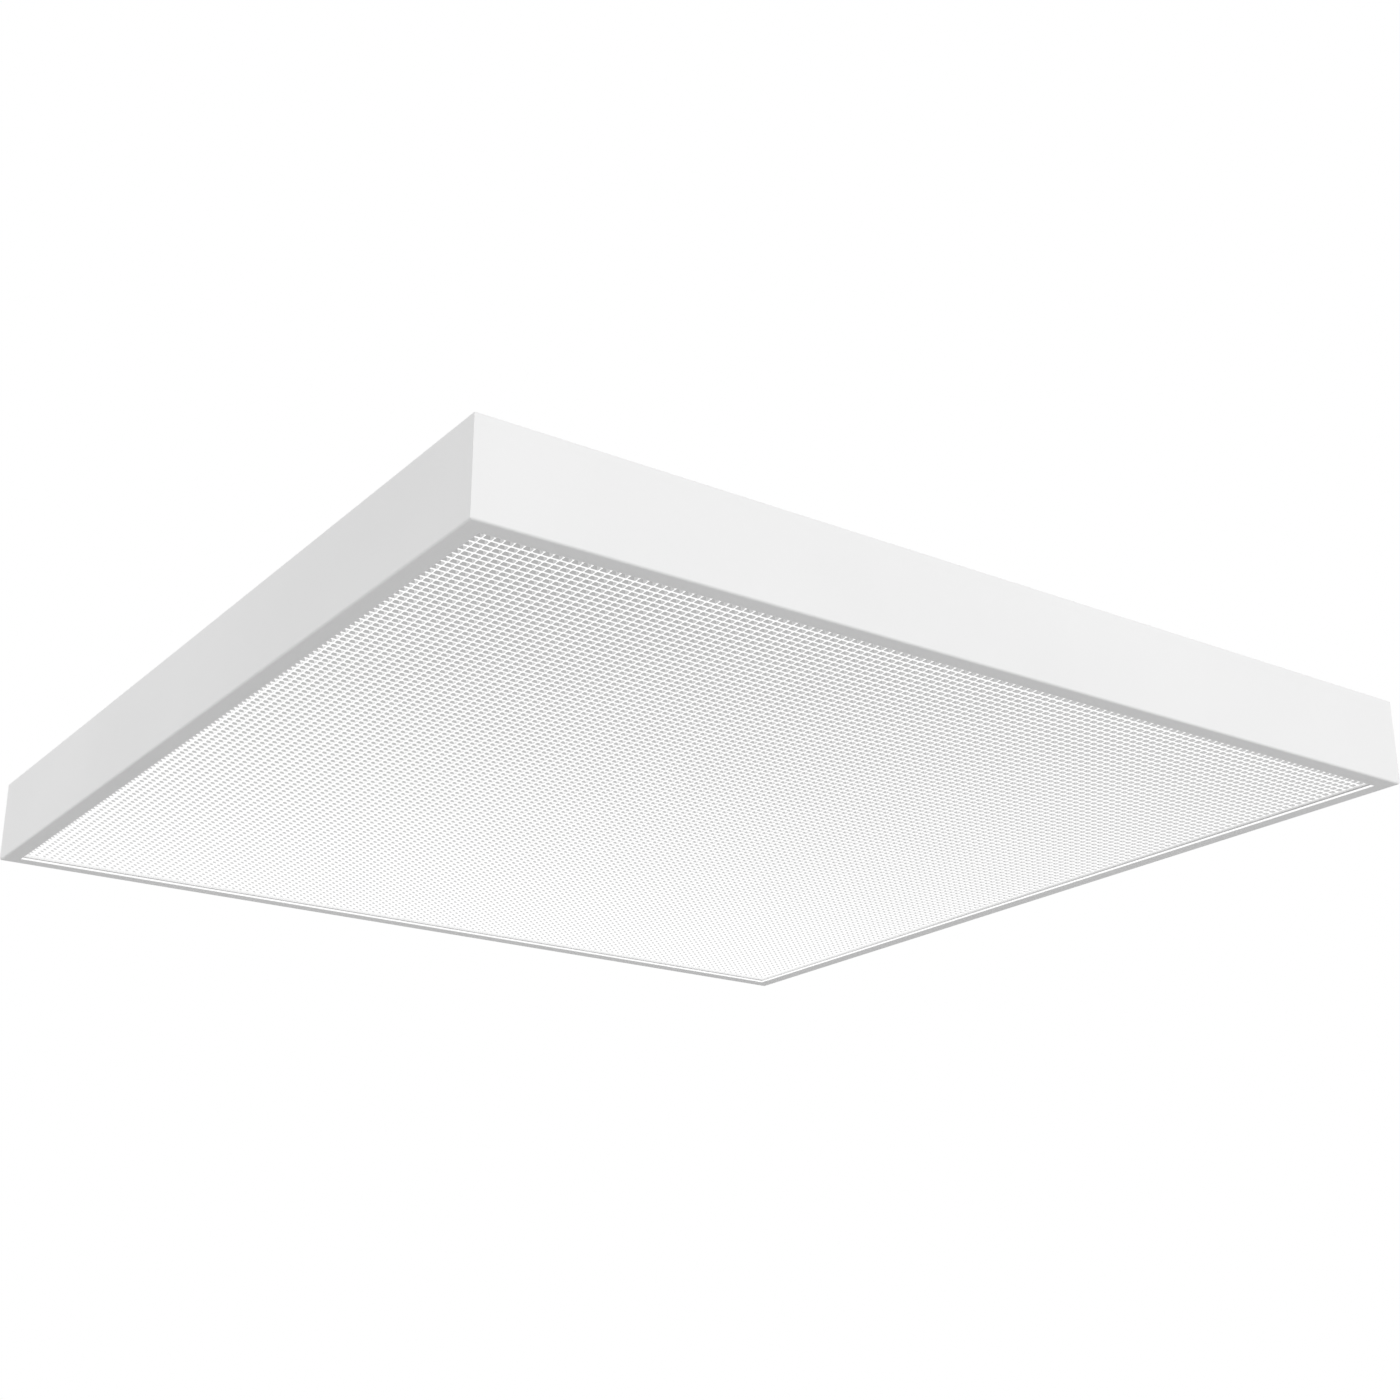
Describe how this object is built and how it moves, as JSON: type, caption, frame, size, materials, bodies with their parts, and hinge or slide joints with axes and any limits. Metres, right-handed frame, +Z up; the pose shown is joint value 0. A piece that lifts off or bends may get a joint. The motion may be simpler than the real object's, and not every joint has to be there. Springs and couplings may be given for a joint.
{
  "type": "recessed modular ceiling luminaire",
  "caption": "Square white lay-in ceiling luminaire with a prismatic lens, folded frame, light source tray and a hinged wiring cover on its back.",
  "frame": {"origin": "centre of the square, in the plane of the lip's underside", "axes": "+Z up towards the ceiling void, +Y to the back, where the wiring compartment is, +X to the right"},
  "size_m": [0.597, 0.597, 0.0655],
  "materials": {
    "frame_paint": "white satin powder coat",
    "reflector_paint": "matt white reflector paint",
    "galvanised_steel": "galvanised",
    "zinc_steel": "bright zinc",
    "lens_acrylic": "clear acrylic with small recessed pyramids",
    "opal_sheet": "opal",
    "foam": "light grey closed cell foam",
    "board_white": "white solder mask on aluminium",
    "led_phosphor": "yellow phosphor in a white body",
    "nylon_natural": "natural nylon",
    "jumper_insulation": "white insulation",
    "gland_nylon": "light grey nylon",
    "seal_rubber": "black rubber",
    "driver_case": "white paint",
    "circuit_resin": "green circuit board",
    "terminal_plastic": "pale grey",
    "button_grey": "dark grey",
    "button_blue": "blue",
    "button_green": "green",
    "insulation_brown": "brown insulation",
    "insulation_blue": "blue insulation",
    "insulation_earth": "green and yellow insulation",
    "insulation_black": "black insulation",
    "insulation_red": "red insulation",
    "brass": "bright brass"
  },
  "bodies": {
    "housing": {"back_pan": "frame_paint", "board_connectors": "nylon_natural", "board_jumpers": "jumper_insulation", "board_rivets": "nylon_natural", "corner_gusset_back_left": "galvanised_steel", "corner_gusset_back_right": "galvanised_steel", "corner_gusset_front_left": "galvanised_steel", "corner_gusset_front_right": "galvanised_steel", "cover_hinge_pins": "zinc_steel", "diffuser_sheet": "opal_sheet", "driver_base": "driver_case", "driver_circuit": "circuit_resin", "driver_cover": "driver_case", "driver_input_terminal": "terminal_plastic", "driver_output_terminal": "terminal_plastic", "driver_screws": "zinc_steel", "earth_lug": "brass", "earth_nut": "zinc_steel", "earth_stud": "brass", "frame_rail_back": "frame_paint", "frame_rail_front": "frame_paint", "frame_rail_left": "frame_paint", "frame_rail_right": "frame_paint", "gland_body": "gland_nylon", "gland_dome_nut": "gland_nylon", "gland_locknut": "gland_nylon", "gland_seal": "seal_rubber", "hold_down_bracket_back": "galvanised_steel", "hold_down_bracket_front": "galvanised_steel", "hold_down_bracket_left": "galvanised_steel", "hold_down_bracket_right": "galvanised_steel", "lead_earth": "insulation_earth", "lead_line": "insulation_brown", "lead_neutral": "insulation_blue", "led_board_1": "board_white", "led_board_2": "board_white", "led_board_3": "board_white", "led_board_4": "board_white", "led_board_5": "board_white", "led_board_6": "board_white", "led_lead_minus": "insulation_black", "led_lead_plus": "insulation_red", "led_packages": "led_phosphor", "led_tray": "reflector_paint", "lens_gasket": "foam", "pan_screws": "zinc_steel", "prismatic_lens": "lens_acrylic", "terminal_block": "terminal_plastic", "terminal_clamps": "zinc_steel", "terminal_screws": "zinc_steel", "tray_grommet": "seal_rubber"},
    "wiring_cover": {"wiring_cover": "frame_paint"},
    "current_selector": {"current_selector": "button_grey"},
    "hanger_loop_front_left": {"hanger_loop_front_left": "zinc_steel"},
    "hanger_loop_front_right": {"hanger_loop_front_right": "zinc_steel"},
    "hanger_loop_back_right": {"hanger_loop_back_right": "zinc_steel"},
    "hanger_loop_back_left": {"hanger_loop_back_left": "zinc_steel"},
    "terminal_button_line": {"terminal_button_line": "button_grey"},
    "terminal_button_neutral": {"terminal_button_neutral": "button_blue"},
    "terminal_button_earth": {"terminal_button_earth": "button_green"}
  },
  "joints": [
    {"name": "cover_hinge", "type": "hinge", "parent": "housing", "child": "wiring_cover", "pos_m": [0, 0.15, 0.0533], "axis": [-1, 0, 0], "range_deg": [0, 110]},
    {"name": "hanger_loop_front_left_swing", "type": "hinge", "parent": "housing", "child": "hanger_loop_front_left", "pos_m": [-0.245, -0.24, 0.0526], "axis": [1, 0, 0], "range_deg": [0, 180]},
    {"name": "hanger_loop_front_right_swing", "type": "hinge", "parent": "housing", "child": "hanger_loop_front_right", "pos_m": [0.245, -0.24, 0.0526], "axis": [1, 0, 0], "range_deg": [0, 180]},
    {"name": "hanger_loop_back_right_swing", "type": "hinge", "parent": "housing", "child": "hanger_loop_back_right", "pos_m": [0.245, 0.24, 0.0526], "axis": [-1, 0, 0], "range_deg": [0, 180]},
    {"name": "hanger_loop_back_left_swing", "type": "hinge", "parent": "housing", "child": "hanger_loop_back_left", "pos_m": [-0.245, 0.24, 0.0526], "axis": [-1, 0, 0], "range_deg": [0, 180]},
    {"name": "terminal_button_line_press", "type": "slide", "parent": "housing", "child": "terminal_button_line", "axis": [0, 0, -1], "range_m": [0, 0.0016], "stiffness_N_per_m": 400, "springref_m": -0.002},
    {"name": "terminal_button_neutral_press", "type": "slide", "parent": "housing", "child": "terminal_button_neutral", "axis": [0, 0, -1], "range_m": [0, 0.0016], "stiffness_N_per_m": 400, "springref_m": -0.002},
    {"name": "terminal_button_earth_press", "type": "slide", "parent": "housing", "child": "terminal_button_earth", "axis": [0, 0, -1], "range_m": [0, 0.0016], "stiffness_N_per_m": 400, "springref_m": -0.002},
    {"name": "current_selector_slide", "type": "slide", "parent": "housing", "child": "current_selector", "axis": [1, 0, 0], "range_m": [0, 0.004]}
  ]
}
